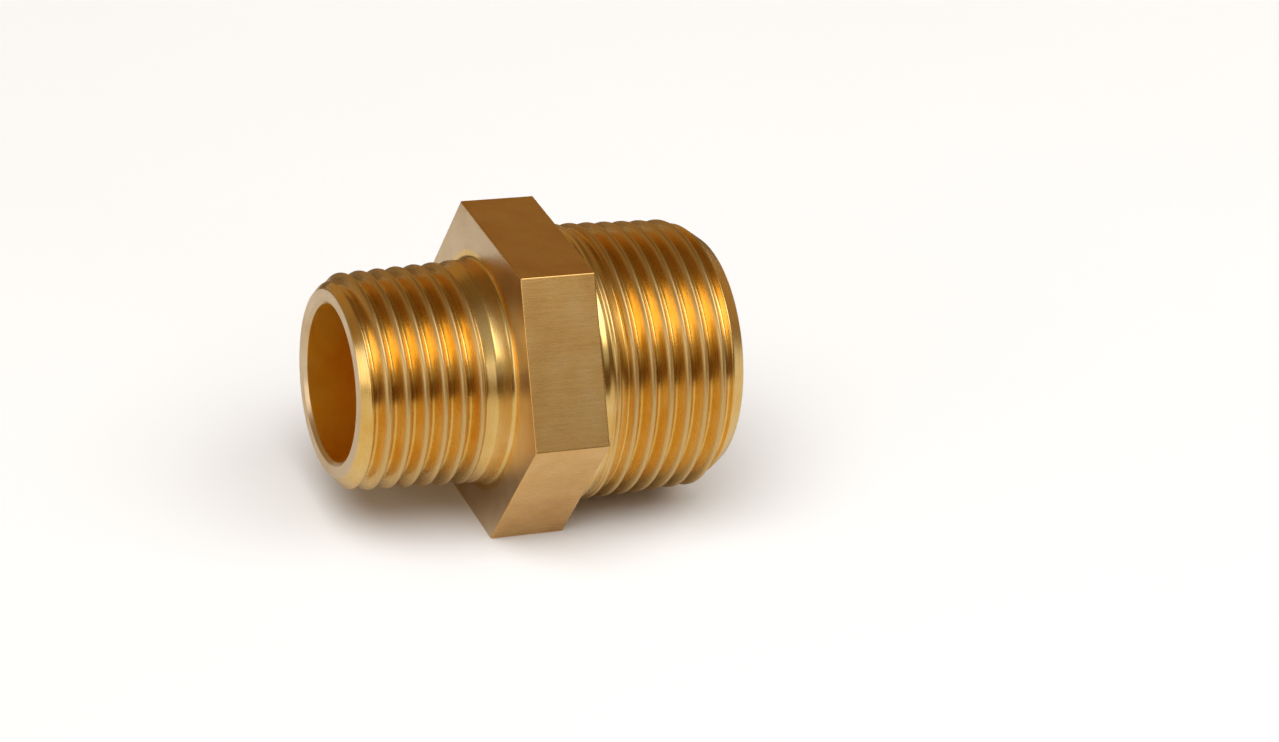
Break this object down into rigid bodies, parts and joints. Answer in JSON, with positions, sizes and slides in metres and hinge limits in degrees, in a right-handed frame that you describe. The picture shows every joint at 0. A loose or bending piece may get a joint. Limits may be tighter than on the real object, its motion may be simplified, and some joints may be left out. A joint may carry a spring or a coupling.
{
  "type": "reducing hex nipple",
  "caption": "Brass reducing hex nipple with a male taper pipe thread on each end, a larger one and a smaller one, a hexagon between them and a stepped bore right through.",
  "frame": {"origin": "on the bore axis, midway between the two end faces", "axes": "+X along the bore from the R 1/2 end towards the R 3/4 end, +Z out of the level hex flat on top, so the part rests on the flat at -Z"},
  "size_m": [0.0376, 0.0324, 0.028],
  "materials": {
    "turned_brass": "turned and milled, bright"
  },
  "bodies": {
    "root": {"nipple_body": "turned_brass"}
  },
  "joints": []
}
